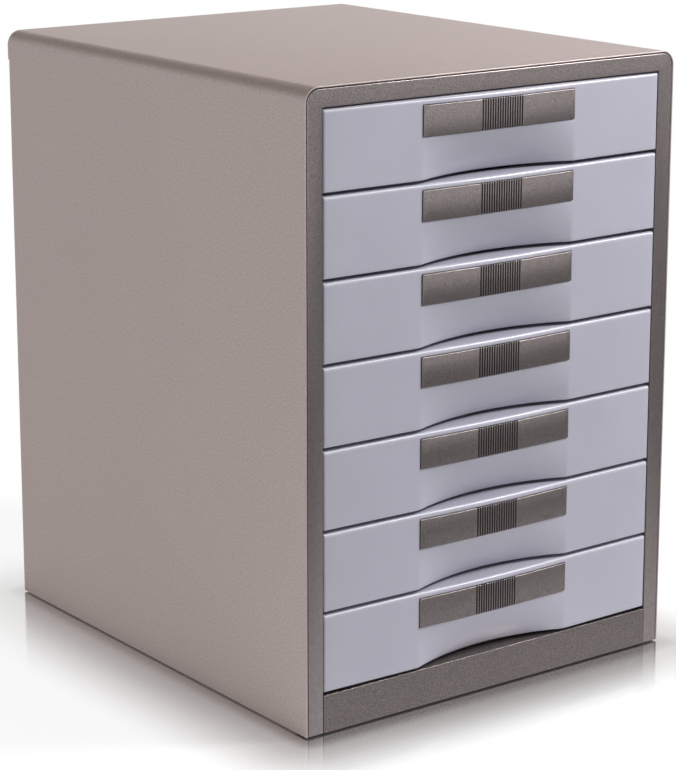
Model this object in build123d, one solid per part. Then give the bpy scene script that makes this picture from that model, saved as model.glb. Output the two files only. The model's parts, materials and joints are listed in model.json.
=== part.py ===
from build123d import *
from math import sqrt
import os

# Desktop filing cabinet: a folded steel case with a front frame, and moulded drawers on steel runners.
# Lengths are in millimetres. X runs across, Y from front to back and Z up from the standing surface.
# Depths are counted from the front frame's face until the pieces are placed at the end.

# Drawer stack
drawer_count = 7
drawer_gap = 2.2
top_gap = 1.0
drawer_travel = 240.0

# Case of folded sheet
case_width = 300.0
case_depth = 352.0
case_height = 410.0
case_corner_radius = 10.0
case_sheet = 1.0
bottom_return_width = 14.0
rear_return_width = 12.0
rear_hem_height = 20.0

# Front frame around the drawers
stile_width = 13.0
top_rail_height = 13.0
frame_depth = 14.0
frame_sheet = 1.2
frame_edge_bevel = 0.6
frame_fit = 0.3

# Base rail between the stiles
base_rail_height = 25.0
base_rail_depth = 30.0
base_rail_sheet = 1.2
base_rail_edge_bevel = 0.6
base_rail_fit = 0.3

# Base pan and back panel
pan_sheet = 1.0
pan_flange_height = 12.0
pan_fit = 0.4
back_sheet = 1.0
back_fit = 0.4
back_field_margin = 32.0
back_field_depth = 1.5
back_field_radius = 14.0

# Back panel screws
screw_shank_diameter = 3.0
screw_head_diameter = 6.0
screw_head_height = 1.0
screw_length = 6.0
screw_hole_fit = 0.1
screws_per_side = 2
screw_end_inset = 40.0

# Rubber pads stuck under the base pan as feet
foot_show = 1.0
foot_width = 14.0
foot_corner = 3.0
foot_side_inset = 24.0
foot_front_inset = 24.0
foot_rear_inset = 34.0

# Runners on the side walls
runner_sheet = 1.0
runner_height = 8.0
runner_lead_in = 6.0
runner_front_gap = 1.0
runner_rear_gap = 2.0
runner_gap = 0.3

# Drawer front: a moulded shell with a bowed pad for the plate, leaning flanks and a finger scoop
front_side_gap = 1.0
front_wall = 2.4
front_rim_depth = 4.0
front_edge_bevel = 1.2
front_corner_bevel = 0.8
flank_lean = 1.6
pad_width = 124.0
pad_crown = 1.8
scoop_depth = 12.0
tab_spacing = 176.0
tab_width = 14.0
tab_thickness = 3.0
tab_drop = 24.0
tab_fit = 0.2

# Handle plate let into the pad
plate_height = 19.4
plate_drop = 4.0
plate_thickness = 2.0
plate_proud = 0.8
plate_gap = 0.35
plate_seat_gap = 0.1
groove_count = 17
groove_pitch = 2.0
groove_width = 1.0
groove_depth = 0.8

# Drawer tray
tray_wall = 2.0
tray_floor = 2.0
tray_corner_radius = 8.0
tray_rim_drop = 3.0
tray_clearance = 4.0
tray_rear_gap = 1.5
tray_front_margin = 1.0
flange_width = 8.5
flange_thickness = 2.0
flange_corner = 3.0
runner_side_gap = 1.5
stop_reach = 6.0
stop_length = 10.0
stop_gap = 0.5

# One overrun serves all cuts
overrun = 5.0

# Levels and widths that follow from the sizes above
case_bottom = foot_show
case_top = case_bottom + case_height
opening_bottom = case_bottom + base_rail_height
opening_top = case_top - top_rail_height
drawer_pitch = (opening_top - opening_bottom - top_gap) / drawer_count
inner_half = case_width / 2 - case_sheet
opening_half = case_width / 2 - stile_width
pan_low = case_bottom + case_sheet
pan_top = pan_low + pan_sheet
back_face = case_depth + back_sheet
hem_back = back_face + case_sheet
hem_bottom = case_top - rear_hem_height
return_front = frame_depth + pan_fit

front_half = opening_half - front_side_gap
front_height = drawer_pitch - drawer_gap
front_depth = scoop_depth + front_rim_depth
pad_half = pad_width / 2
plate_recess = plate_thickness - plate_proud
plate_top = -plate_drop
plate_low = plate_top - plate_height
scoop_top = plate_low - plate_gap

tray_half = front_half - flange_width
tray_rear = case_depth - back_field_depth - tray_rear_gap
tray_top = -tray_rim_drop
tray_low = tray_clearance - drawer_pitch
flange_low = tray_top - flange_thickness
runner_top = flange_low - runner_gap
runner_inner = tray_half + runner_side_gap
runner_front = max(frame_depth, front_depth + tray_wall) + runner_front_gap
runner_rear = case_depth - case_sheet - runner_rear_gap


def drawer_top(number):
    """Height of a drawer front's top edge, counted from the top drawer down."""
    return opening_top - top_gap - (number - 1) * drawer_pitch


def arched_outline(width, low, high, radius):
    """Upright outline whose two top corners are rounded."""
    outline = Pos(0, (low + high) / 2) * Rectangle(width, high - low)
    return Plane.XZ * fillet(outline.vertices().group_by(Axis.Y)[-1], radius)


def slab(outline, front, back):
    """Upright outline given a thickness between two depths."""
    return extrude(Pos(0, front, 0) * outline, back - front, dir=(0, 1, 0))


def block(x_span, depth_span, height_span):
    """Rectangular block between two corners."""
    spans = (x_span, depth_span, height_span)
    low = [min(span) for span in spans]
    sides = [abs(span[1] - span[0]) for span in spans]
    return Pos(*low) * Box(*sides, align=(Align.MIN, Align.MIN, Align.MIN))


def arc_rise(x, half_chord, rise):
    """Height of a circular arc above its chord, at a distance x from the middle."""
    radius = (half_chord**2 + rise**2) / (2 * rise)
    return sqrt(radius**2 - x**2) - (radius - rise)


def screw_places():
    """Back panel screws: a column on each of the case's rear returns."""
    column_x = inner_half - rear_return_width / 2
    low = pan_top + screw_end_inset
    step = (hem_bottom - screw_end_inset - low) / (screws_per_side - 1)
    return [(side * column_x, low + step * k) for side in (-1, 1) for k in range(screws_per_side)]


def screw_holes(diameter):
    """Round cuts along Y at every back panel screw."""
    reach = screw_length + overrun
    hole = Rotation(90, 0, 0) * Cylinder(diameter / 2, 2 * reach)
    return [Pos(x, back_face, z) * hole for x, z in screw_places()]


def foot_places():
    """Names and centres of the four feet."""
    across = case_width / 2 - foot_side_inset
    depths = {"front": foot_front_inset, "rear": case_depth - foot_rear_inset}
    sides = {"left": -across, "right": across}
    return {f"foot_{d}_{s}": (sides[s], depths[d]) for d in depths for s in sides}


def case_shell():
    """Top and side walls folded from one sheet, with a hem and returns at the rear and bottom."""
    outer = arched_outline(case_width, case_bottom, case_top, case_corner_radius)
    inner_low = case_bottom - overrun
    inner_radius = case_corner_radius - case_sheet
    inner = arched_outline(2 * inner_half, inner_low, case_top - case_sheet, inner_radius)
    skin = slab(outer - inner, 0, hem_back)
    skin -= block((-case_width, case_width), (case_depth, hem_back + overrun), (inner_low, hem_bottom))
    hem = arched_outline(case_width, hem_bottom, case_top, case_corner_radius)
    skin += slab(hem, back_face, hem_back)
    for side in (-1, 1):
        wall = side * inner_half
        rear_edge = wall - side * rear_return_width
        bottom_edge = wall - side * bottom_return_width
        rear_heights = (pan_top + pan_fit, hem_bottom)
        skin += block((rear_edge, wall), (case_depth - case_sheet, case_depth), rear_heights)
        skin += block((bottom_edge, wall), (return_front, case_depth), (case_bottom, pan_low))
    return skin - screw_holes(screw_shank_diameter + 2 * screw_hole_fit)


def front_frame():
    """Top rail and stiles as one folded channel, open at the back, set inside the case's front rim."""
    half = inner_half - frame_fit
    top = case_top - case_sheet - frame_fit
    radius = case_corner_radius - case_sheet - frame_fit
    outline = arched_outline(2 * half, case_bottom, top, radius)
    opening_height = opening_top - case_bottom + overrun
    opening = Pos(0, opening_top - opening_height / 2) * Rectangle(2 * opening_half, opening_height)
    outline -= Plane.XZ * opening
    frame = slab(outline, 0, frame_depth)
    frame = chamfer(frame.faces().sort_by(Axis.Y)[0].edges(), frame_edge_bevel)
    channel = offset(outline, -frame_sheet, kind=Kind.INTERSECTION)
    return frame - slab(channel, frame_sheet, frame_depth + overrun)


def base_rail():
    """Folded channel between the stiles, standing on the base pan."""
    top_under = opening_bottom - base_rail_sheet
    floor_over = pan_top + base_rail_sheet
    section = Polyline(
        (0, case_bottom),
        (base_rail_sheet, case_bottom),
        (base_rail_sheet, pan_top),
        (base_rail_depth, pan_top),
        (base_rail_depth, floor_over),
        (base_rail_sheet, floor_over),
        (base_rail_sheet, top_under),
        (base_rail_depth, top_under),
        (base_rail_depth, opening_bottom),
        (0, opening_bottom),
        close=True,
    )
    half = opening_half - base_rail_fit
    rail = extrude(Plane.YZ * make_face(section), half, both=True)
    face_edges = rail.faces().sort_by(Axis.Y)[0].edges().filter_by(Axis.X)
    return chamfer(face_edges, base_rail_edge_bevel)


def base_pan():
    """Floor sheet lying on the case's bottom returns, turned up at the rear against the back panel."""
    half = inner_half - pan_fit
    pan = block((-half, half), (return_front, case_depth), (pan_low, pan_top))
    flange_half = inner_half - rear_return_width - pan_fit
    flange_heights = (pan_low, pan_low + pan_flange_height)
    return pan + block((-flange_half, flange_half), (case_depth - pan_sheet, case_depth), flange_heights)


def back_panel():
    """Rear sheet under the case's hem, with a stiffening field pressed inwards."""
    half = inner_half - back_fit
    top = case_top - case_sheet - back_fit
    radius = case_corner_radius - case_sheet - back_fit
    panel = slab(arched_outline(2 * half, pan_low, top, radius), case_depth, back_face)
    field_low = pan_low + back_field_margin
    field_high = hem_bottom - back_field_margin
    middle = Plane.XZ * Pos(0, (field_low + field_high) / 2)
    field_width = 2 * (half - back_field_margin)
    field_height = field_high - field_low
    dish = RectangleRounded(field_width, field_height, back_field_radius)
    boss = offset(dish, back_sheet)
    panel += slab(middle * boss, case_depth - back_field_depth, case_depth)
    panel -= slab(middle * dish, back_face - back_field_depth, back_face + overrun)
    return panel - screw_holes(screw_shank_diameter + 2 * screw_hole_fit)


def back_screws():
    """Pan-head screws that hold the back panel, one group of separate solids."""
    head = Cylinder(screw_head_diameter / 2, screw_head_height, align=(Align.CENTER, Align.CENTER, Align.MIN))
    shank = Cylinder(screw_shank_diameter / 2, screw_length, align=(Align.CENTER, Align.CENTER, Align.MAX))
    screw = Rotation(-90, 0, 0) * (head + shank)
    return Compound([Pos(x, back_face, z) * screw for x, z in screw_places()])


def foot():
    """Square rubber pad with cut corners, from the standing surface to the base pan."""
    pad = Rectangle(foot_width, foot_width)
    return extrude(chamfer(pad.vertices(), foot_corner), pan_low)


def runner(side):
    """Angle on a side wall; the drawer's flange slides on its level leg."""
    wall = side * inner_half
    leg = side * (inner_half - runner_sheet)
    tip = side * runner_inner
    under = runner_top - runner_sheet
    upper = under + runner_height
    foot_of_leg = [(wall, under), (tip, under), (tip, runner_top)]
    head_of_leg = [(leg, runner_top), (leg, upper), (wall, upper)]
    section = Polyline(foot_of_leg + head_of_leg, close=True)
    angle = slab(Plane.XZ * make_face(section), runner_front, runner_rear)
    tip_edges = angle.edges().filter_by(Axis.Z).group_by(Axis.Y)[0]
    lead_in = tip_edges.sort_by(lambda edge: abs(edge.center().X))[0]
    return chamfer(lead_in, runner_lead_in)


def rounded_block(half_width, front, rear, low, high, radius):
    """Block with rounded upright corners."""
    plan = Pos(0, (front + rear) / 2, low) * RectangleRounded(2 * half_width, rear - front, radius)
    return extrude(plan, high - low)


def front_tabs(fit):
    """Two tabs that carry the drawer front in slots of the tray's front wall, grown by a fit."""
    half = tab_width / 2 + fit
    heights = (-tab_drop - tab_thickness - fit, -tab_drop + fit)
    depths = (0, front_depth + tray_wall + fit)
    middles = [side * tab_spacing / 2 for side in (-1, 1)]
    return [block((x - half, x + half), depths, heights) for x in middles]


def drawer_tray():
    """Moulded tray with sliding flanges, stops behind the stiles and a wall that carries the front."""
    back = front_depth + tray_wall
    tray = rounded_block(tray_half, front_depth, tray_rear, tray_low, tray_top, tray_corner_radius)
    rim = Rectangle(2 * front_half, tray_rear - front_depth)
    flange = Pos(0, (front_depth + tray_rear) / 2, flange_low) * chamfer(rim.vertices(), flange_corner)
    tray += extrude(flange, flange_thickness)
    stop_front = frame_depth + drawer_travel + stop_gap
    stop_half = opening_half + stop_reach
    stops = (stop_front, stop_front + stop_length)
    tray += block((-stop_half, stop_half), stops, (flange_low, tray_top))
    wall_half = front_half - tray_front_margin
    wall_heights = (tray_front_margin - front_height, tray_top)
    tray += block((-wall_half, wall_half), (front_depth, back), wall_heights)
    inner_radius = tray_corner_radius - tray_wall
    inner_half_width = tray_half - tray_wall
    floor = tray_low + tray_floor
    cavity_rear = tray_rear - tray_wall
    tray -= rounded_block(inner_half_width, back, cavity_rear, floor, tray_top, inner_radius)
    return tray - front_tabs(tab_fit)


def middle_section(height, reach):
    """Plan section between the flanks; reach is how far its middle stands before its edges."""
    left = (-pad_half, -flank_lean)
    right = (pad_half, -flank_lean)
    face = ThreePointArc(left, (0, -flank_lean - reach), right)
    sides = Polyline(right, (pad_half, front_depth), (-pad_half, front_depth), left)
    return Pos(0, 0, height) * make_face([face, sides])


def flank(side):
    """Leaning side of the front, as high as the front, with a bevelled outer corner."""
    inner = side * pad_half
    outer = side * front_half
    corners = [(inner, front_depth), (inner, -flank_lean), (outer, 0), (outer, front_depth)]
    plan = make_face(Polyline(corners, close=True))
    front_end = plan.vertices().sort_by_distance((outer, 0))[0]
    return extrude(Pos(0, 0, -front_height) * chamfer(front_end, front_corner_bevel), front_height)


def front_cavity():
    """Hollow behind the face, with a sloping floor that follows the scoop."""
    half = front_half - front_wall
    low = front_wall - front_height
    hollow = block((-half, half), (front_wall, front_depth + overrun), (low, -front_wall))
    slope = Polyline((front_wall, scoop_top), (front_wall, low), (scoop_depth, low), close=True)
    return hollow - extrude(Plane.YZ * make_face(slope), pad_half + front_wall, both=True)


def plate_section(height, half, front, back):
    """Plan section between two arcs beside the pad's face, one before it and one behind."""
    end = -flank_lean - arc_rise(half, pad_half, pad_crown)
    middle = -flank_lean - pad_crown
    rear_arc = ThreePointArc((-half, end + back), (0, middle + back), (half, end + back))
    front_arc = ThreePointArc((half, end - front), (0, middle - front), (-half, end - front))
    sides = [Line(rear_arc @ 1, front_arc @ 0), Line(front_arc @ 1, rear_arc @ 0)]
    return Pos(0, 0, height) * make_face([rear_arc, front_arc] + sides)


def drawer_front():
    """Moulded front with a bevelled brow, a recess for the plate and tabs behind."""
    scoop_foot = middle_section(-front_height, -scoop_depth)
    scoop_head = middle_section(scoop_top, pad_crown)
    front = loft([scoop_foot, scoop_head], ruled=True) + extrude(scoop_head, -scoop_top)
    front += [flank(-1), flank(1)]
    top_edges = front.faces().sort_by(Axis.Z)[-1].edges()
    brow = [edge for edge in top_edges if edge.bounding_box().max.Y < front_depth / 2]
    front = chamfer(brow, front_edge_bevel) - front_cavity()
    recess = plate_section(plate_low - plate_gap, pad_half, overrun, plate_recess)
    front -= extrude(recess, plate_height + 2 * plate_gap)
    return front + front_tabs(0)


def handle_plate():
    """Bowed plate with a band of upright grip grooves in its middle."""
    half = pad_half - plate_gap
    seat = plate_recess - plate_seat_gap
    plate = extrude(plate_section(plate_low, half, plate_proud, seat), plate_height)
    grooves = []
    for k in range(groove_count):
        x = (k - (groove_count - 1) / 2) * groove_pitch
        land = -flank_lean - arc_rise(x, pad_half, pad_crown) - plate_proud
        sides = (x - groove_width / 2, x + groove_width / 2)
        heights = (plate_low - overrun, plate_top + overrun)
        grooves.append(block(sides, (land - overrun, land + groove_depth), heights))
    return plate - grooves


def all_pieces():
    """Every piece under its own name, with depths still counted from the frame's face."""
    pieces = {
        "case_shell": case_shell(),
        "front_frame": front_frame(),
        "base_rail": base_rail(),
        "base_pan": base_pan(),
        "back_panel": back_panel(),
        "back_screws": back_screws(),
    }
    for name, (x, depth) in foot_places().items():
        pieces[name] = Pos(x, depth, 0) * foot()
    left_runner = runner(-1)
    right_runner = runner(1)
    tray = drawer_tray()
    front = drawer_front()
    plate = handle_plate()
    for number in range(1, drawer_count + 1):
        level = Pos(0, 0, drawer_top(number))
        pieces[f"runner_{number}_left"] = level * left_runner
        pieces[f"runner_{number}_right"] = level * right_runner
        pieces[f"drawer_{number}_tray"] = level * tray
        pieces[f"drawer_{number}_front"] = level * front
        pieces[f"drawer_{number}_handle_plate"] = level * plate
    return pieces


# The origin is the middle of the footprint, from the plates' crowns to the rear hem
plate_reach = flank_lean + pad_crown + plate_proud
face_y = (plate_reach - hem_back) / 2

os.makedirs("parts", exist_ok=True)
for name, shape in all_pieces().items():
    export_step(Pos(0, face_y, 0) * shape, f"parts/{name}.step")
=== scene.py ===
"""Looks of a desktop filing cabinet: a taupe steel case and cool grey drawers with grooved handle plates.

Lengths are in metres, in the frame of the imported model: X across, Y from front to back, Z up.
"""
import json
from math import asin, cos, pi, radians, sin, sqrt

import bmesh
import bpy
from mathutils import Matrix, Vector

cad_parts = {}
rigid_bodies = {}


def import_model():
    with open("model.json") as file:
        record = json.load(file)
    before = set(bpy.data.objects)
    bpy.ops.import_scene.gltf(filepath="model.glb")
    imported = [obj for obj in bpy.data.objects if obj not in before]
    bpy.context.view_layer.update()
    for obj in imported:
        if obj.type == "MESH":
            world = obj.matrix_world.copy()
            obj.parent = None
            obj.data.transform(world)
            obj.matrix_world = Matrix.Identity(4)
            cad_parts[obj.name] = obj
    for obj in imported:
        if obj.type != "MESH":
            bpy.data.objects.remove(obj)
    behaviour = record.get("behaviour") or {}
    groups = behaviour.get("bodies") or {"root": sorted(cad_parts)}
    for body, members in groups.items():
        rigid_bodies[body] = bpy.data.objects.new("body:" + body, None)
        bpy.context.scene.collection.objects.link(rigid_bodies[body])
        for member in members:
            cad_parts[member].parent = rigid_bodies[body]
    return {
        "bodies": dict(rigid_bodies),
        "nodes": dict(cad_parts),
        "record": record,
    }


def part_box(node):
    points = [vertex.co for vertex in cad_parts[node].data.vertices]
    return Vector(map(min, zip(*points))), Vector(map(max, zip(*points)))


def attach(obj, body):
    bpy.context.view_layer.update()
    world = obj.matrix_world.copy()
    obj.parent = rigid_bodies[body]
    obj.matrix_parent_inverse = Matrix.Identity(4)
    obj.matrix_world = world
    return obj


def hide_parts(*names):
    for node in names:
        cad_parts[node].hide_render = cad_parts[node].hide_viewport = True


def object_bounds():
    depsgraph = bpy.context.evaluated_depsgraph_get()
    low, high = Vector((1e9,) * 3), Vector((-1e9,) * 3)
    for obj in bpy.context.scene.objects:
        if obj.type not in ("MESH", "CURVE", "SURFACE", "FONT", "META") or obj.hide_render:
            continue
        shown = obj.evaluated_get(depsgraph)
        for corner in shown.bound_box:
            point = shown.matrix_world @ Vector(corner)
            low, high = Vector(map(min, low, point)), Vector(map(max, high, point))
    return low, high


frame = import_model()
cad_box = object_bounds()

# Places read from the frame
case_low, case_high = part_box("case_shell")
frame_low, frame_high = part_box("front_frame")
rail_low, rail_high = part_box("base_rail")
front_low, front_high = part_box("drawer_1_front")
plate_low, plate_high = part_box("drawer_1_handle_plate")
tray_low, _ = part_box("drawer_1_tray")
pan_low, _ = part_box("base_pan")
_, back_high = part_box("back_panel")
drawer_names = sorted(body for body in frame["bodies"] if body.startswith("drawer_"))
face_y = frame_low.y

# Drawer front
front_half = front_high.x
front_height = front_high.z - front_low.z
front_back = tray_low.y - face_y
flank_lean = 0.0016
pad_crown = 0.0018
scoop_depth = 0.012
brow_radius = 0.0026
foot_radius = 0.0011
end_radius = 0.0012
crease_round = 0.0012
crease_growth = 1.2
tab_spacing = 0.176
tab_width = 0.014
tab_thickness = 0.003
tab_drop = 0.024

# Handle plate and its recess
plate_gap = 0.00035
plate_proud = 0.0008
plate_recess = 0.0012
plate_edge = 0.0003
lip_radius = 0.0003
groove_count = 17
groove_pitch = 0.002
groove_width = 0.0011
groove_depth = 0.0016
groove_round = 0.00018
plate_half = plate_high.x
pad_half = plate_half + plate_gap
plate_head = plate_high.z - front_high.z
plate_foot = plate_low.z - front_high.z
scoop_head = plate_foot - plate_gap

# Front frame and base rail
top_gap = 0.001
rail_fit = 0.0003
frame_radius = 0.0087
frame_edge = 0.0005
frame_seam = 0.0004
rail_edge = 0.0002
rail_sheet = 0.0012

# Case of folded sheet
case_radius = 0.01
case_sheet = 0.001
rim_radius = 0.00048
hem_edge = 0.0006
hem_height = 0.02
rear_return = 0.012
bottom_return = 0.014
pan_sheet = 0.001
pan_fit = 0.0004
back_sheet = 0.001

# Feet and screws
foot_corner = 0.003
foot_edge = 0.0003
screw_radius = 0.003
screw_height = 0.001
screw_skirt = 0.0003
cross_core = 0.0006
cross_width = 0.0007
cross_reach = 0.0016
cross_depth = 0.0006

# Rounding of moulded and folded edges on the pieces inside
mould_edge = 0.0006
fold_edge = 0.0003

# Places and weights that soften a crease
soft_steps = [(-1.0, 1 / 16), (-0.5, 4 / 16), (0.0, 6 / 16), (0.5, 4 / 16), (1.0, 1 / 16)]

# A step that makes a wall in a grid of points stand almost upright
wall_step = 0.00001

# How finely rounded edges and curved faces are divided
round_steps = 6
small_round_steps = 3
bevel_steps = 4
flank_steps = 5
crease_steps = 15
pad_steps = 18
scoop_steps = 12
plate_steps = 10
dome_steps = 4
dome_sector_steps = 2

# Section of a bevel that makes it a round
round_profile = 0.5

# Angles between two faces: shaded as one below it, taken as flat below it, and rounded above it
smooth_angle = radians(35)
flat_angle = radians(1)
corner_angle = radians(50)

# Turn of the surface at which an edge starts to get a painted highlight, and at which the highlight is
# full
highlight_angles = (radians(12), radians(20))

# Camera, counted from the case's lower left front corner
camera_from_corner = Vector((-0.8875, -1.2265, 0.6237))
camera_yaw = radians(36.631)
camera_pitch = radians(13.396)
photo_height = 770
focal_pixels = 2580.1
optical_centre_row = 330
sensor_width = 36.0

# Colours of the finishes, linear, from the dark parts of their grain to the light ones
white = (1.0, 1.0, 1.0)
cloud_tones = ((0.97, 0.97, 0.97), white)
case_tones = ((0.394, 0.33, 0.316), (0.568, 0.477, 0.457))
# Lighter tone painted along the case's rounded edges and rim as a highlight
case_highlight = (0.72, 0.64, 0.62)
case_gloss = (1.0, 0.86, 0.83)
frame_flakes = ((0.10, 0.083, 0.082), (0.21, 0.179, 0.177), (0.38, 0.335, 0.332))
# The frame's paint made a little darker for the plates: painted shade that offsets the extra light their
# bowed faces catch
plate_shaded_flakes = ((0.10, 0.083, 0.082), (0.20, 0.169, 0.168), (0.35, 0.308, 0.306))
# Near-black shade painted into the bottoms of the plates' grooves
groove_shade = (0.02, 0.017, 0.016)
front_tones = ((0.425, 0.415, 0.486), (0.445, 0.435, 0.508))
# Lighter tone painted along the fronts' rounded edges as a highlight
front_highlight = (0.52, 0.51, 0.58)
tray_tones = ((0.33, 0.325, 0.35), (0.37, 0.365, 0.39))
zinc_tones = ((0.52, 0.53, 0.54), (0.64, 0.64, 0.63))
rubber_tones = ((0.018, 0.018, 0.019), (0.045, 0.044, 0.043))

# Values of a noise or tone at which those colours lie
noise_range = (0.3, 0.7)
flake_stops = (0.33, 0.5, 0.68)
zinc_stops = (0.2, 0.8)
rubber_stops = (0.3, 0.75)

# Features of the finishes per metre
# Patches that break up the painted edge highlights
highlight_patches = 240.0
case_grain = 800.0
case_cloud = 9.0
flake_grain = 1400.0
flake_cloud = 30.0
front_grain = 2600.0
front_cloud = 16.0
tray_grain = 1500.0
tray_cloud = 12.0
zinc_spangles = 160.0
zinc_scratches = 700.0
rubber_dust = 900.0

# Heights of coarse and of fine bumps
coarse_bump = 0.0002
fine_bump = 0.0001

# Surroundings: the ambient light, the ceiling's colour, and how steeply up the white gives way to it
ambient_light = (0.4, 0.4, 0.4)
ceiling_color = (0.17, 0.12, 0.06)
cove_stops = (0.31, 0.46)

# Floor: its reach, its shades and its polish, and the distances from the cabinet over which they change
floor_reach = 1.7
floor_pale = (0.85, 0.85, 0.85)
floor_shaded = (0.3, 0.3, 0.3)
floor_glow = 0.82
# Distance from the cabinet over which the floor's glow fades in; its fading out towards the cabinet is a
# painted contact shadow
painted_shadow_distance = 0.015
floor_shine = 0.87
shine_distance = 0.086
shine_roughness = 0.1
white_distances = (0.12, 0.4)
floor_bounce = 0.2
bounce_distance = 0.3

# How edge-on the floor is seen where its polish starts to show and where it shows in full
shine_facing = (0.53, 0.64)

# Dark card: its size, its height above the floor, its shades, and how far out it is darkest
card_half_width = 3.0
card_reach = 1.2
card_lift = 0.001
card_shades = (0.6, 0.12)
card_dusk = 0.4

# Lamps: place, side length, and power in watts
key_place = (0.95, -0.75, 1.25)
key_size = 0.35
key_power = 20.5
side_place = (-1.5, -0.5, 0.7)
side_size = 1.0
side_power = 2.9


def node(tree, kind, **settings):
    """New shader node; a setting names an input socket or a property."""
    made = tree.nodes.new(kind)
    for key, value in settings.items():
        if key in made.inputs:
            made.inputs[key].default_value = value
        else:
            setattr(made, key, value)
    return made


def noise(tree, scale, detail=2.0, roughness=0.5):
    """Noise over the piece's own coordinates; scale is in features per metre."""
    place = node(tree, "ShaderNodeTexCoord")
    texture = node(tree, "ShaderNodeTexNoise", Scale=scale, Detail=detail, Roughness=roughness)
    tree.links.new(place.outputs["Object"], texture.inputs["Vector"])
    return texture.outputs["Fac"]


def ramp(tree, value, tones, stops=noise_range):
    """Colour ramp over a value, with a linear colour at each stop."""
    made = node(tree, "ShaderNodeValToRGB")
    points = made.color_ramp.elements
    while len(points) < len(tones):
        points.new(0.5)
    for point, stop, tone in zip(points, stops, tones):
        point.position = stop
        point.color = (*tone, 1.0)
    tree.links.new(value, made.inputs["Fac"])
    return made.outputs["Color"]


def spread(tree, value, low, high):
    """Value in the middle of a noise's range, stretched between two limits."""
    made = node(tree, "ShaderNodeMapRange")
    made.inputs["From Min"].default_value = noise_range[0]
    made.inputs["From Max"].default_value = noise_range[1]
    made.inputs["To Min"].default_value = low
    made.inputs["To Max"].default_value = high
    tree.links.new(value, made.inputs["Value"])
    return made.outputs["Result"]


def tint(tree, color, shade):
    """Colour multiplied by a grey shade."""
    made = node(tree, "ShaderNodeMix", data_type="RGBA", blend_type="MULTIPLY")
    made.inputs["Factor"].default_value = 1.0
    tree.links.new(color, made.inputs["A"])
    tree.links.new(shade, made.inputs["B"])
    return made.outputs["Result"]


def relief(tree, bsdf, height, strength, distance):
    """Bump on the shader's normal."""
    made = node(tree, "ShaderNodeBump", Strength=strength, Distance=distance)
    tree.links.new(height, made.inputs["Height"])
    tree.links.new(made.outputs["Normal"], bsdf.inputs["Normal"])


def giving_way(tree, color, other, share):
    """Colour that gives way to another one by a share."""
    made = node(tree, "ShaderNodeMix", data_type="RGBA")
    made.inputs["B"].default_value = (*other, 1.0)
    tree.links.new(share, made.inputs["Factor"])
    tree.links.new(color, made.inputs["A"])
    return made.outputs["Result"]


def with_painted_edge_highlights(tree, color, highlight_tone):
    """Colour that gives way to a lighter one in patches along a piece's rounded edges: a painted
    highlight.
    """
    edge = node(tree, "ShaderNodeAttribute", attribute_name="edge_highlight")
    mottle = noise(tree, highlight_patches, detail=3.0, roughness=0.6)
    patches = node(tree, "ShaderNodeMath", operation="MULTIPLY")
    tree.links.new(edge.outputs["Fac"], patches.inputs[0])
    tree.links.new(spread(tree, mottle, low=0.6, high=1.0), patches.inputs[1])
    return giving_way(tree, color, highlight_tone, patches.outputs["Value"])


def shaded_in_grooves(tree, color, painted_shade):
    """Colour that gives way to a painted shade towards the bottom of a piece's grooves."""
    depth = node(tree, "ShaderNodeAttribute", attribute_name="groove_shade_share")
    return giving_way(tree, color, painted_shade, depth.outputs["Fac"])


def surface(name, metallic=0.0, specular=0.5):
    """New principled material, with its tree and shader."""
    material = bpy.data.materials.new(name)
    material.use_nodes = True
    bsdf = material.node_tree.nodes["Principled BSDF"]
    bsdf.inputs["Metallic"].default_value = metallic
    bsdf.inputs["Specular IOR Level"].default_value = specular
    return material, material.node_tree, bsdf


def case_paint():
    """Satin taupe powder coat: a fine orange-peel grain and a faint cloudiness."""
    material, tree, bsdf = surface("case_paint", metallic=0.3, specular=0.15)
    grain = noise(tree, case_grain, detail=3.0, roughness=0.6)
    cloud = noise(tree, case_cloud, detail=3.0)
    paint = tint(tree, ramp(tree, grain, case_tones), ramp(tree, cloud, cloud_tones))
    # Lighter along rounded edges: a painted highlight
    tree.links.new(with_painted_edge_highlights(tree, paint, case_highlight), bsdf.inputs["Base Color"])
    tree.links.new(spread(tree, grain, low=0.32, high=0.4), bsdf.inputs["Roughness"])
    bsdf.inputs["Specular Tint"].default_value = (*case_gloss, 1.0)
    relief(tree, bsdf, grain, strength=0.1, distance=coarse_bump)
    return material


def metallic_paint(name, tones):
    """Taupe metallic paint: grainy flakes that catch the light one by one, a lighter tone painted along
    rounded edges as a highlight, and shade painted into any grooves.
    """
    material, tree, bsdf = surface(name, metallic=0.75, specular=0.4)
    flakes = noise(tree, flake_grain, detail=3.0, roughness=0.6)
    cloud = noise(tree, flake_cloud)
    paint = tint(tree, ramp(tree, flakes, tones, flake_stops), ramp(tree, cloud, cloud_tones))
    # The lightest flake tone, painted along rounded edges as a highlight
    highlight_tone = tones[-1]
    tree.links.new(shaded_in_grooves(tree, with_painted_edge_highlights(tree, paint, highlight_tone), groove_shade), bsdf.inputs["Base Color"])
    tree.links.new(spread(tree, flakes, low=0.36, high=0.26), bsdf.inputs["Roughness"])
    relief(tree, bsdf, flakes, strength=0.15, distance=coarse_bump)
    return material


def front_plastic():
    """Cool grey moulded plastic, satin and nearly smooth."""
    material, tree, bsdf = surface("front_plastic")
    grain = noise(tree, front_grain)
    color = ramp(tree, noise(tree, front_cloud), front_tones)
    # Lighter along rounded edges: a painted highlight
    tree.links.new(with_painted_edge_highlights(tree, color, front_highlight), bsdf.inputs["Base Color"])
    tree.links.new(spread(tree, grain, low=0.26, high=0.34), bsdf.inputs["Roughness"])
    relief(tree, bsdf, grain, strength=0.04, distance=fine_bump)
    return material


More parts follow.
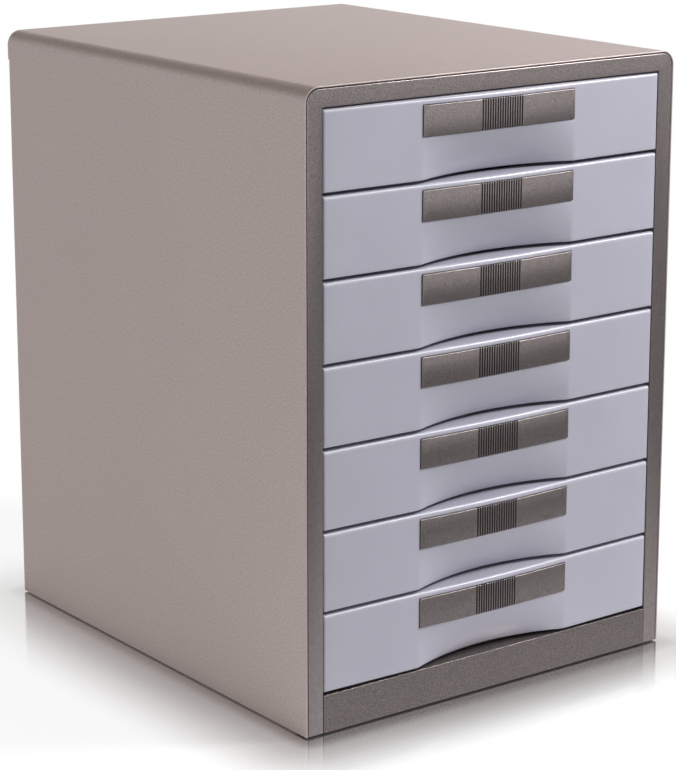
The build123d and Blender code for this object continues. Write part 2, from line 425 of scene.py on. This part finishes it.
def tray_plastic():
    """Grey moulded plastic with a fine spark-eroded grain."""
    material, tree, bsdf = surface("tray_plastic", specular=0.4)
    grain = noise(tree, tray_grain, detail=3.0, roughness=0.6)
    tree.links.new(ramp(tree, noise(tree, tray_cloud), tray_tones), bsdf.inputs["Base Color"])
    tree.links.new(spread(tree, grain, low=0.45, high=0.6), bsdf.inputs["Roughness"])
    relief(tree, bsdf, grain, strength=0.2, distance=coarse_bump)
    return material


def zinc_steel(name):
    """Zinc-plated steel: small spangles, each with its own tone."""
    material, tree, bsdf = surface(name, metallic=1.0)
    place = node(tree, "ShaderNodeTexCoord")
    spangle = node(tree, "ShaderNodeTexVoronoi", Scale=zinc_spangles)
    tone = node(tree, "ShaderNodeRGBToBW")
    tree.links.new(place.outputs["Object"], spangle.inputs["Vector"])
    tree.links.new(spangle.outputs["Color"], tone.inputs["Color"])
    tree.links.new(ramp(tree, tone.outputs["Val"], zinc_tones, zinc_stops), bsdf.inputs["Base Color"])
    scratches = noise(tree, zinc_scratches, detail=4.0, roughness=0.7)
    tree.links.new(spread(tree, scratches, low=0.28, high=0.45), bsdf.inputs["Roughness"])
    relief(tree, bsdf, scratches, strength=0.06, distance=fine_bump)
    return material


def foot_rubber():
    """Matt black rubber with a dusty mottle."""
    material, tree, bsdf = surface("foot_rubber", specular=0.3)
    dust = noise(tree, rubber_dust, detail=3.0, roughness=0.6)
    tree.links.new(ramp(tree, dust, rubber_tones, rubber_stops), bsdf.inputs["Base Color"])
    tree.links.new(spread(tree, dust, low=0.7, high=0.9), bsdf.inputs["Roughness"])
    relief(tree, bsdf, dust, strength=0.2, distance=coarse_bump)
    return material


finishes = {
    "case_paint": case_paint(),
    "frame_paint": metallic_paint("frame_paint", frame_flakes),
    "plate_plastic": metallic_paint("plate_plastic", plate_shaded_flakes),
    "front_plastic": front_plastic(),
    "tray_plastic": tray_plastic(),
    "runner_steel": zinc_steel("runner_steel"),
    "screw_steel": zinc_steel("screw_steel"),
    "foot_rubber": foot_rubber(),
}


def finish_node(name, finish):
    """A node's own mesh in one of the finishes."""
    mesh = frame["nodes"][name].data
    mesh.materials.clear()
    mesh.materials.append(finishes[finish])


for row in frame["record"]["subparts"]:
    finish_node(row["node"], row["material_slot"])


def piece(name, mesh, body, slot, *nodes):
    """Finished mesh that rides on a body and stands for its nodes."""
    mesh.materials.append(finishes[slot])
    for polygon in mesh.polygons:
        polygon.use_smooth = True
    mesh.set_sharp_from_angle(angle=smooth_angle)
    made = bpy.data.objects.new(name, mesh)
    bpy.context.scene.collection.objects.link(made)
    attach(made, body)
    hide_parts(*nodes)
    return made


def to_mesh(bm, name):
    """Mesh with outward normals, and a share of painted highlight on its rounded edges, from a finished
    bmesh.
    """
    bmesh.ops.recalc_face_normals(bm, faces=bm.faces)
    if bm.calc_volume(signed=True) < 0:
        bmesh.ops.reverse_faces(bm, faces=bm.faces)
    # Share of painted highlight, from how sharply the surface turns at each point
    edge_highlight = bm.verts.layers.float.new("edge_highlight")
    least, most = highlight_angles
    for vert in bm.verts:
        turns = [edge.calc_face_angle_signed() for edge in vert.link_edges]
        turn = max([turn for turn in turns if turn < smooth_angle], default=0.0)
        vert[edge_highlight] = min(max((turn - least) / (most - least), 0.0), 1.0)
    mesh = bpy.data.meshes.new(name)
    bm.to_mesh(mesh)
    bm.free()
    return mesh


def arc_rise(x, half_chord, rise):
    """Height of a circular arc above its chord, at a distance x from the middle."""
    radius = (half_chord**2 + rise**2) / (2 * rise)
    return sqrt(radius**2 - x**2) - (radius - rise)


def quarter_round(radius, steps=round_steps):
    """Points of a quarter circle as distance in from the edge and depth below the face."""
    angles = [pi / 2 * k / steps for k in range(steps + 1)]
    return [(radius * (1 - cos(a)), radius * (1 - sin(a))) for a in angles]


def even(low, high, count):
    """Evenly spaced values from low to high, both ends left out."""
    return [low + (high - low) * k / (count + 1) for k in range(1, count + 1)]


def mirrored(values):
    """Sorted values with their mirror images about zero."""
    return sorted({round(v, 9) for value in values for v in (value, -value)})


def grid_solid(bm, columns, rows, depth, back):
    """Closed solid with a grid of points for its face and a flat back."""
    grid = [[bm.verts.new((x, depth(x, z), z)) for z in rows] for x in columns]
    for left, right in zip(grid, grid[1:]):
        for k in range(len(rows) - 1):
            bm.faces.new((left[k], right[k], right[k + 1], left[k + 1]))
    border = [line[0] for line in grid] + grid[-1][1:]
    border += [line[-1] for line in grid[-2::-1]] + grid[0][-2:0:-1]
    rear = [bm.verts.new((vert.co.x, back, vert.co.z)) for vert in border]
    for k in range(len(border)):
        bm.faces.new((border[k - 1], border[k], rear[k], rear[k - 1]))
    bm.faces.new(rear)


def box_between(bm, low, high):
    """Closed box between two opposite corners."""
    for vert in bmesh.ops.create_cube(bm, size=1.0)["verts"]:
        share = vert.co + Vector((0.5, 0.5, 0.5))
        vert.co = [min(a, b) + abs(b - a) * s for a, b, s in zip(low, high, share)]


def closed_loft(bm, rings):
    """Closed solid through rings of points, with a flat face on both ends."""
    rings = [[bm.verts.new(point) for point in ring] for ring in rings]
    for ring, following in zip(rings, rings[1:]):
        for k in range(len(ring)):
            bm.faces.new((ring[k - 1], ring[k], following[k], following[k - 1]))
    bm.faces.new(rings[0])
    bm.faces.new(rings[-1])


def bevelled_prism(bm, points, shift, edge):
    """Flat outline given a thickness along a vector, with the edges of its first face rounded."""
    face = bm.faces.new([bm.verts.new(point) for point in points])
    rim = list(face.edges)
    made = bmesh.ops.extrude_face_region(bm, geom=[face], use_keep_orig=True)
    moved = [item for item in made["geom"] if isinstance(item, bmesh.types.BMVert)]
    bmesh.ops.translate(bm, verts=moved, vec=shift)
    bmesh.ops.bevel(
        bm, geom=rim, offset=edge, segments=bevel_steps, profile=round_profile, affect="EDGES",
    )


def arch(half, low, high, radius):
    """Upright outline with rounded top corners: points, each with its outward direction."""
    angles = [pi / 2 * k / (2 * round_steps) for k in range(2 * round_steps + 1)]
    left = [((-half, low), (-1.0, 0.0))]
    for a in angles:
        place = (-half + radius * (1 - cos(a)), high - radius * (1 - sin(a)))
        left.append((place, (-cos(a), sin(a))))
    return left + [((-x, z), (-across, up)) for (x, z), (across, up) in reversed(left)]


def sweep(bm, outline, section):
    """Closed solid that carries a section of inset and depth along an upright outline."""
    closed_loft(bm, [
        [(x - across * inset, y, z - up * inset) for inset, y in section]
        for (x, z), (across, up) in outline
    ])


def scoop_share(z):
    """How far down the scoop a height lies, from 0 at its head to 1 at the front's foot."""
    return min(max((scoop_head - z) / (scoop_head + front_height), 0.0), 1.0)


def bare_front(x, z):
    """Depth of the drawer front's face; z counts from the front's top edge."""
    across = abs(x)
    if across >= pad_half:
        return -flank_lean * (front_half - across) / (front_half - pad_half)
    share = scoop_share(z)
    crown = arc_rise(across, pad_half, pad_crown)
    hollow = arc_rise(across, pad_half, scoop_depth)
    return share * hollow - (1 - share) * crown - flank_lean


def edge_drop(distance, radius):
    """Depth of a rounded edge at a distance in from it."""
    if distance >= radius:
        return 0.0
    return radius - sqrt(max(radius**2 - (radius - distance) ** 2, 0.0))


def front_depth(x, z):
    """Depth of the finished front: soft creases, rounded edges and the plate's recess."""
    reach = crease_round * (1 + crease_growth * scoop_share(z))
    depth = sum(weight * bare_front(x + place * reach, z) for place, weight in soft_steps)
    depth += max(
        edge_drop(-z, brow_radius),
        edge_drop(front_height + z, foot_radius),
        edge_drop(front_half - abs(x), end_radius),
    )
    outside = max(abs(x) - pad_half, z - plate_head - plate_gap, plate_foot - plate_gap - z)
    if outside < 0:
        return depth + plate_recess
    return depth + edge_drop(outside, lip_radius)


def recess_steps(edge, outward):
    """Values across a recess's edge: its rounded lip and its wall."""
    lip = [edge + outward * inset for inset, _ in quarter_round(lip_radius, small_round_steps)]
    return lip + [edge - outward * wall_step]


def front_columns():
    """Places across the drawer front, closer together where its face turns."""
    ends = [front_half - inset for inset, _ in quarter_round(end_radius)]
    crease_reach = crease_round * (1 + crease_growth)
    flanks = even(pad_half + crease_reach, front_half - end_radius, flank_steps)
    crease = even(pad_half - crease_reach, pad_half + crease_reach, crease_steps)
    pad = even(0.0, pad_half - crease_reach, pad_steps)
    return mirrored([0.0] + ends + flanks + crease + pad + recess_steps(pad_half, 1))


def front_rows():
    """Heights on the drawer front, from its foot to its brow."""
    brow = [-inset for inset, _ in quarter_round(brow_radius)]
    foot = [inset - front_height for inset, _ in quarter_round(foot_radius)]
    scoop = even(-front_height + foot_radius, scoop_head - 2 * lip_radius, scoop_steps)
    recess = recess_steps(plate_head + plate_gap, 1) + recess_steps(scoop_head, -1)
    return sorted(brow + foot + scoop + recess)


def drawer_front(number, top):
    """Moulded drawer front with its two tabs, as one mesh."""

    def depth(x, z):
        return face_y + front_depth(x, z - top)

    bm = bmesh.new()
    rows = [top + z for z in front_rows()]
    grid_solid(bm, front_columns(), rows, depth, face_y + front_back)
    for side in (-1, 1):
        middle = side * tab_spacing / 2
        low = (middle - tab_width / 2, face_y + front_back, top - tab_drop - tab_thickness)
        high = (middle + tab_width / 2, front_high.y, top - tab_drop)
        box_between(bm, low, high)
    body = f"drawer_{number}"
    piece(f"front_{number}", to_mesh(bm, "drawer_front"), body, "front_plastic", f"{body}_front")


def groove_drop(x):
    """Depth of the grip grooves below the plate's face."""
    reach = groove_pitch * groove_count / 2
    if abs(x) >= reach:
        return 0.0
    offset = (x + reach) % groove_pitch - groove_pitch / 2
    inside = groove_width / 2 - abs(offset)
    if inside > 0:
        return groove_depth - edge_drop(inside, groove_round)
    return edge_drop(-inside, groove_round)


def groove_columns():
    """Places across the band of grooves: each groove's walls and rounded edges."""
    places = []
    for k in range(groove_count):
        middle = (k - (groove_count - 1) / 2) * groove_pitch
        for side in (-1, 1):
            wall = middle + side * groove_width / 2
            rounds = [inset for inset, _ in quarter_round(groove_round, small_round_steps)]
            places += [wall + side * (wall_step + inset) for inset in rounds]
            places += [wall - side * (wall_step + inset) for inset in rounds]
    return places


def handle_plate(number, top):
    """Bowed plate with grip grooves and softly broken edges."""
    edge_insets = [inset for inset, _ in quarter_round(plate_edge, small_round_steps)]
    ends = [plate_half - inset for inset in edge_insets]
    sides = even(groove_pitch * groove_count / 2, plate_half - plate_edge, plate_steps)
    columns = mirrored(ends + sides + groove_columns())
    foot = [plate_foot + inset for inset in edge_insets]
    head = [plate_head - inset for inset in edge_insets]

    def depth(x, z):
        edge = min(plate_half - abs(x), z - top - plate_foot, plate_head - z + top)
        face = -flank_lean - arc_rise(x, pad_half, pad_crown) - plate_proud
        return face_y + face + max(edge_drop(edge, plate_edge), groove_drop(x))

    bm = bmesh.new()
    rows = [top + z for z in sorted(foot + head)]
    grid_solid(bm, columns, rows, depth, plate_high.y)
    mesh = to_mesh(bm, "handle_plate")
    # Share of the painted groove shade at each point, full at the bottom of a groove
    groove_shade_share = mesh.attributes.new("groove_shade_share", "FLOAT", "POINT")
    for vert, painted_shade in zip(mesh.vertices, groove_shade_share.data):
        painted_shade.value = groove_drop(vert.co.x) / groove_depth
    body = f"drawer_{number}"
    piece(f"plate_{number}", mesh, body, "plate_plastic", f"{body}_handle_plate")


for number in range(1, len(drawer_names) + 1):
    drawer_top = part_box(f"drawer_{number}_front")[1].z
    drawer_front(number, drawer_top)
    handle_plate(number, drawer_top)


def front_frame():
    """Top rail and stiles with softly rounded edges and a seam round them."""
    opening_half = rail_high.x + rail_fit
    opening_top = front_high.z + top_gap
    half, top = frame_high.x - frame_seam, frame_high.z - frame_seam
    outline = [place for place, _ in arch(half, frame_low.z, top, frame_radius - frame_seam)]
    opening = [(opening_half, frame_low.z), (opening_half, opening_top)]
    outline += opening + [(-x, z) for x, z in reversed(opening)]
    points = [(x, frame_low.y, z) for x, z in outline]
    bm = bmesh.new()
    bevelled_prism(bm, points, (0, frame_high.y - frame_low.y, 0), frame_edge)
    piece("frame", to_mesh(bm, "front_frame"), "cabinet", "frame_paint", "front_frame")


def base_rail():
    """Folded channel between the stiles, with broken front edges."""
    corner = quarter_round(rail_edge)
    pan_top = pan_low.z + pan_sheet
    inner = rail_low.y + rail_sheet
    section = [(rail_low.y + drop, rail_low.z + inset) for inset, drop in corner]
    section += [(rail_low.y + drop, rail_high.z - inset) for inset, drop in reversed(corner)]
    section += [(rail_high.y, rail_high.z), (rail_high.y, rail_high.z - rail_sheet)]
    section += [(inner, rail_high.z - rail_sheet), (inner, pan_top + rail_sheet)]
    section += [(rail_high.y, pan_top + rail_sheet), (rail_high.y, pan_top)]
    section += [(inner, pan_top), (inner, rail_low.z)]
    bm = bmesh.new()
    closed_loft(bm, [[(x, y, z) for y, z in section] for x in (rail_low.x, rail_high.x)])
    piece("plinth", to_mesh(bm, "base_rail"), "cabinet", "frame_paint", "base_rail")


def case_shell():
    """Case of folded sheet: a rolled front rim, a rear hem, and returns for the back and the pan."""
    half, top = case_high.x, case_high.z
    wall_rear = back_high.y - back_sheet
    hem_bottom = top - hem_height
    rim = [(inset, face_y + drop) for inset, drop in quarter_round(rim_radius)]
    rim += [(case_sheet - inset, y) for inset, y in reversed(rim)]
    sheet = rim + [(case_sheet, wall_rear), (0.0, wall_rear)]
    bm = bmesh.new()
    sweep(bm, arch(half, case_low.z, top, case_radius), sheet)
    upper = arch(half, hem_bottom, top, case_radius)
    lap = [(0.0, wall_rear), (case_sheet, wall_rear), (case_sheet, back_high.y), (0.0, back_high.y)]
    sweep(bm, upper, lap)
    hem = [(x, case_high.y, z) for (x, z), _ in upper]
    bevelled_prism(bm, hem, (0, back_high.y - case_high.y, 0), hem_edge)
    for side in (-1, 1):
        wall = side * (half - case_sheet)
        rear_low = (wall, wall_rear - case_sheet, pan_low.z + pan_sheet + pan_fit)
        box_between(bm, rear_low, (wall - side * rear_return, wall_rear, hem_bottom))
        bottom_low = (wall, pan_low.y, case_low.z)
        box_between(bm, bottom_low, (wall - side * bottom_return, wall_rear, case_low.z + case_sheet))
    piece("case", to_mesh(bm, "case_shell"), "cabinet", "case_paint", "case_shell")


def rubber_foot(name):
    """Square pad with cut corners and a rounded sole."""
    low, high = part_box(name)
    points = [
        (low.x + foot_corner, low.y), (high.x - foot_corner, low.y),
        (high.x, low.y + foot_corner), (high.x, high.y - foot_corner),
        (high.x - foot_corner, high.y), (low.x + foot_corner, high.y),
        (low.x, high.y - foot_corner), (low.x, low.y + foot_corner),
    ]
    bm = bmesh.new()
    bevelled_prism(bm, [(x, y, low.z) for x, y in points], (0, 0, high.z - low.z), foot_edge)
    piece(name.replace("foot", "pad"), to_mesh(bm, name), "cabinet", "foot_rubber", name)


def screw_head(bm, middle):
    """Domed head with a cross recess, on the back panel's face."""
    radii = [cross_core, cross_core + wall_step, cross_reach, cross_reach + wall_step]
    radii += even(cross_reach, screw_radius, dome_steps) + [screw_radius]
    rings = []
    for radius in radii:
        fall = edge_drop(screw_radius - radius, screw_radius) / screw_radius
        dome = screw_height - (screw_height - screw_skirt) * fall
        arm = asin(cross_width / 2 / radius)
        wall = wall_step / radius
        ring = []
        for quarter in range(4):
            turns = [-arm - wall, -arm, arm, arm + wall]
            turns += even(arm + wall, pi / 2 - arm - wall, dome_sector_steps)
            for turn in turns:
                sunk = radius <= cross_core or (abs(turn) <= arm and radius <= cross_reach)
                angle = quarter * pi / 2 + turn
                height = dome - cross_depth * sunk
                x = middle[0] + radius * cos(angle)
                z = middle[1] + radius * sin(angle)
                ring.append((x, back_high.y + height, z))
        rings.append(ring)
    rings.append([(x, back_high.y, z) for x, _, z in rings[-1]])
    closed_loft(bm, rings)


def back_screws():
    """The heads of the back panel's screws."""
    low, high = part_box("back_screws")
    bm = bmesh.new()
    for x in (low.x + screw_radius, high.x - screw_radius):
        for z in (low.z + screw_radius, high.z - screw_radius):
            screw_head(bm, (x, z))
    piece("screw_heads", to_mesh(bm, "back_screws"), "cabinet", "screw_steel", "back_screws")


def softened(name, slot, body, edge):
    """Copy of a node's mesh with its sharp edges rounded."""
    bm = bmesh.new()
    bm.from_mesh(frame["nodes"][name].data)
    bmesh.ops.remove_doubles(bm, verts=bm.verts, dist=wall_step)
    bmesh.ops.dissolve_limit(bm, angle_limit=flat_angle, verts=bm.verts, edges=bm.edges)
    sharp = [side for side in bm.edges if side.is_manifold and side.calc_face_angle() > corner_angle]
    bmesh.ops.bevel(
        bm, geom=sharp, offset=edge, segments=bevel_steps, profile=round_profile, affect="EDGES",
        clamp_overlap=False,
    )
    piece(f"soft_{name}", to_mesh(bm, name), body, slot, name)


front_frame()
base_rail()
case_shell()
back_screws()
softened("back_panel", "case_paint", "cabinet", fold_edge)
softened("base_pan", "case_paint", "cabinet", fold_edge)
for name in list(frame["nodes"]):
    if name.startswith("foot_"):
        rubber_foot(name)
    if name.startswith("runner_"):
        softened(name, "runner_steel", "cabinet", fold_edge)
for body in drawer_names:
    softened(f"{body}_tray", "tray_plastic", body, mould_edge)


def aim(made, target):
    """Turns an object's -Z axis at a point."""
    made.rotation_euler = (Vector(target) - made.location).to_track_quat("-Z", "Y").to_euler()


def softbox(name, place, target, size, power):
    """Square area lamp aimed at a point."""
    lamp = bpy.data.lights.new(name, "AREA")
    lamp.shape = "SQUARE"
    lamp.size = size
    lamp.energy = power
    made = bpy.data.objects.new(name, lamp)
    made.location = place
    made.visible_camera = False
    bpy.context.scene.collection.objects.link(made)
    aim(made, target)


def seen_directly(tree):
    """1 on the rays that show the background itself: camera, glossy and transmission rays."""
    path = node(tree, "ShaderNodeLightPath")
    first = node(tree, "ShaderNodeMath", operation="MAXIMUM")
    second = node(tree, "ShaderNodeMath", operation="MAXIMUM")
    tree.links.new(path.outputs["Is Camera Ray"], first.inputs[0])
    tree.links.new(path.outputs["Is Glossy Ray"], first.inputs[1])
    tree.links.new(first.outputs["Value"], second.inputs[0])
    tree.links.new(path.outputs["Is Transmission Ray"], second.inputs[1])
    return second.outputs["Value"]


def white_world():
    """White cove under a dim warm ceiling to look at, and an even ambient light on the object."""
    world = bpy.data.worlds.new("studio")
    bpy.context.scene.world = world
    world.use_nodes = True
    tree = world.node_tree
    background = tree.nodes["Background"]
    background.inputs["Strength"].default_value = 1.0
    direction = node(tree, "ShaderNodeTexCoord")
    upward = node(tree, "ShaderNodeSeparateXYZ")
    tree.links.new(direction.outputs["Generated"], upward.inputs["Vector"])
    shown = ramp(tree, upward.outputs["Z"], (white, ceiling_color), cove_stops)
    light = node(tree, "ShaderNodeMix", data_type="RGBA")
    light.inputs["A"].default_value = (*ambient_light, 1.0)
    tree.links.new(seen_directly(tree), light.inputs["Factor"])
    tree.links.new(shown, light.inputs["B"])
    tree.links.new(light.outputs["Result"], background.inputs["Color"])


def distance_from_footprint(tree):
    """Distance on the floor from the cabinet's outline."""
    place = node(tree, "ShaderNodeTexCoord")
    size = cad_box[1] - cad_box[0]
    away = node(tree, "ShaderNodeVectorMath", operation="ABSOLUTE")
    past = node(tree, "ShaderNodeVectorMath", operation="SUBTRACT")
    past.inputs[1].default_value = (size.x / 2, size.y / 2, 0.0)
    clipped = node(tree, "ShaderNodeVectorMath", operation="MAXIMUM")
    length = node(tree, "ShaderNodeVectorMath", operation="LENGTH")
    tree.links.new(place.outputs["Object"], away.inputs[0])
    tree.links.new(away.outputs["Vector"], past.inputs[0])
    tree.links.new(past.outputs["Vector"], clipped.inputs[0])
    tree.links.new(clipped.outputs["Vector"], length.inputs[0])
    return length.outputs["Value"]


def fade(tree, value, near, far, start, end):
    """Smooth change from start to end as a value goes from near to far."""
    made = node(tree, "ShaderNodeMapRange", interpolation_type="SMOOTHSTEP")
    made.inputs["From Min"].default_value = near
    made.inputs["From Max"].default_value = far
    made.inputs["To Min"].default_value = start
    made.inputs["To Max"].default_value = end
    tree.links.new(value, made.inputs["Value"])
    return made.outputs["Result"]


def blend(tree, factor, first, second):
    """Mix of two shaders."""
    made = node(tree, "ShaderNodeMixShader")
    tree.links.new(factor, made.inputs["Fac"])
    tree.links.new(first, made.inputs[1])
    tree.links.new(second, made.inputs[2])
    return made.outputs["Shader"]


def floor_seen(tree, distance):
    """The floor to look at: shaded and polished near the cabinet, plain white further off."""
    shaded = node(tree, "ShaderNodeBsdfDiffuse", Color=(*floor_shaded, 1.0))
    glow = node(tree, "ShaderNodeEmission")
    lit = node(tree, "ShaderNodeAddShader")
    # The glow fades out towards the cabinet's outline: a painted contact shadow
    tree.links.new(fade(tree, distance, 0.0, painted_shadow_distance, 0.0, floor_glow), glow.inputs["Strength"])
    tree.links.new(shaded.outputs["BSDF"], lit.inputs[0])
    tree.links.new(glow.outputs["Emission"], lit.inputs[1])
    gloss = node(tree, "ShaderNodeBsdfGlossy", Roughness=shine_roughness)
    grazing = node(tree, "ShaderNodeLayerWeight", Blend=0.5)
    polish = node(tree, "ShaderNodeMath", operation="MULTIPLY")
    tree.links.new(fade(tree, distance, 0.0, shine_distance, floor_shine, 0.0), polish.inputs[0])
    tree.links.new(fade(tree, grazing.outputs["Facing"], *shine_facing, 0.0, 1.0), polish.inputs[1])
    polished = blend(tree, polish.outputs["Value"], lit.outputs["Shader"], gloss.outputs["BSDF"])
    plain = node(tree, "ShaderNodeEmission", Color=(*white, 1.0))
    far_share = fade(tree, distance, *white_distances, 0.0, 1.0)
    return blend(tree, far_share, polished, plain.outputs["Emission"])


def floor_light(tree, distance):
    """The floor as the object is lit by it: matt and pale, with a little light of its own close by."""
    matt = node(tree, "ShaderNodeBsdfDiffuse", Color=(*floor_pale, 1.0))
    bounce = node(tree, "ShaderNodeEmission")
    bright = node(tree, "ShaderNodeAddShader")
    strength = fade(tree, distance, 0.0, bounce_distance, floor_bounce, 0.0)
    tree.links.new(strength, bounce.inputs["Strength"])
    tree.links.new(matt.outputs["BSDF"], bright.inputs[0])
    tree.links.new(bounce.outputs["Emission"], bright.inputs[1])
    return bright.outputs["Shader"]


def flat_sheet(name, finish, low, high, height):
    """Level rectangle in a new material that has no shader yet, and that material's tree."""
    corners = [(low[0], low[1]), (high[0], low[1]), (high[0], high[1]), (low[0], high[1])]
    mesh = bpy.data.meshes.new(name)
    mesh.from_pydata([(x, y, height) for x, y in corners], [], [(0, 1, 2, 3)])
    sheet = bpy.data.objects.new(name, mesh)
    bpy.context.scene.collection.objects.link(sheet)
    material = bpy.data.materials.new(finish)
    material.use_nodes = True
    tree = material.node_tree
    tree.nodes.remove(tree.nodes["Principled BSDF"])
    mesh.materials.append(material)
    return sheet, tree


def studio_floor():
    """White floor: a soft shadow and a fading reflection near the cabinet, plain white further off."""
    low, high = (-floor_reach, -floor_reach), (floor_reach, floor_reach)
    floor, tree = flat_sheet("floor", "floor_white", low, high, 0.0)
    floor.location.z = cad_box[0].z
    distance = distance_from_footprint(tree)
    whole = blend(tree, seen_directly(tree), floor_light(tree, distance), floor_seen(tree, distance))
    tree.links.new(whole, tree.nodes["Material Output"].inputs["Surface"])


def dark_card():
    """Card on the floor in front, darker further out, which shows only as a reflection in the paint."""
    low, high = (-card_half_width, face_y - card_reach), (card_half_width, face_y)
    card, tree = flat_sheet("card", "card_grey", low, high, card_lift)
    for kind in ("camera", "diffuse", "shadow"):
        setattr(card, f"visible_{kind}", False)
    grey = node(tree, "ShaderNodeEmission", Color=(*white, 1.0))
    distance = distance_from_footprint(tree)
    tree.links.new(fade(tree, distance, 0.0, card_dusk, *card_shades), grey.inputs["Strength"])
    side = node(tree, "ShaderNodeNewGeometry")
    clear = node(tree, "ShaderNodeBsdfTransparent")
    upper_side = blend(tree, side.outputs["Backfacing"], grey.outputs["Emission"], clear.outputs["BSDF"])
    tree.links.new(upper_side, tree.nodes["Material Output"].inputs["Surface"])


def photo_camera():
    """Camera at the photograph's viewing angle."""
    camera = bpy.data.cameras.new("camera")
    camera.sensor_width = sensor_width
    camera.lens = focal_pixels * sensor_width / photo_height
    camera.shift_y = (optical_centre_row - photo_height / 2) / photo_height
    made = bpy.data.objects.new("camera", camera)
    made.location = case_low + camera_from_corner
    made.rotation_euler = (pi / 2 - camera_pitch, 0.0, -camera_yaw)
    bpy.context.scene.collection.objects.link(made)
    bpy.context.scene.camera = made


middle = (cad_box[0] + cad_box[1]) / 2
white_world()
studio_floor()
dark_card()
softbox("key_light", key_place, middle, key_size, key_power)
softbox("side_light", side_place, middle, side_size, side_power)
photo_camera()
bpy.context.scene.view_settings.view_transform = "Standard"
